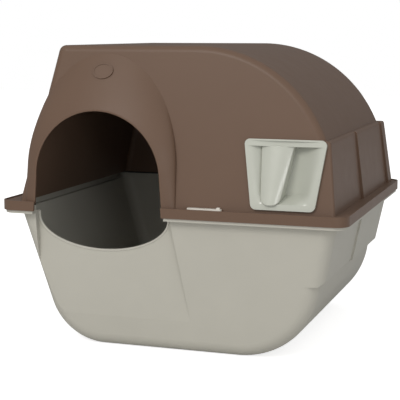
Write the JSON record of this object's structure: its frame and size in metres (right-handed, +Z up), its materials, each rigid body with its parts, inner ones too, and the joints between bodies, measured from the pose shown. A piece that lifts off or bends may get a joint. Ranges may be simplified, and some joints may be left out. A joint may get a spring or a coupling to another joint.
{
  "type": "covered litter box",
  "caption": "Covered litter box with an arched entrance, a rolled side, a lift-off cover, a sifting grille and a waste tray that pulls out of the front.",
  "frame": {"origin": "on the floor, at the middle of the rim's width and depth", "axes": "+Z up, front with the entrance at -Y, +X to the right of the entrance"},
  "size_m": [0.57, 0.478, 0.483],
  "materials": {
    "tub": "pale warm grey moulded plastic, satin",
    "cover": "taupe brown moulded plastic, fine satin texture",
    "gasket": "dark closed-cell foam",
    "guide": "dark brown moulded plastic",
    "grille": "dark moulded plastic lattice",
    "screw": "zinc plated steel",
    "tray": "pale glossy moulded plastic",
    "latch": "pale moulded plastic"
  },
  "bodies": {
    "base": {"base_pan": "tub"},
    "hood": {"hood": "cover", "rim_gasket": "gasket", "tray_guide": "guide", "sifting_grille": "grille", "screws": "screw"},
    "tray": {"waste_tray": "tray"},
    "front_latch": {"front_latch": "latch"},
    "rear_latch": {"rear_latch": "latch"}
  },
  "joints": [
    {"name": "hood_lift", "type": "slide", "parent": "base", "child": "hood", "axis": [0, 0, 1], "range_m": [0, 0.3]},
    {"name": "tray_slide", "type": "slide", "parent": "hood", "child": "tray", "axis": [0, -1, 0], "range_m": [0, 0.45]},
    {"name": "front_latch_slide", "type": "slide", "parent": "hood", "child": "front_latch", "axis": [1, 0, 0], "range_m": [0, 0.014]},
    {"name": "rear_latch_slide", "type": "slide", "parent": "hood", "child": "rear_latch", "axis": [1, 0, 0], "range_m": [0, 0.014]}
  ]
}
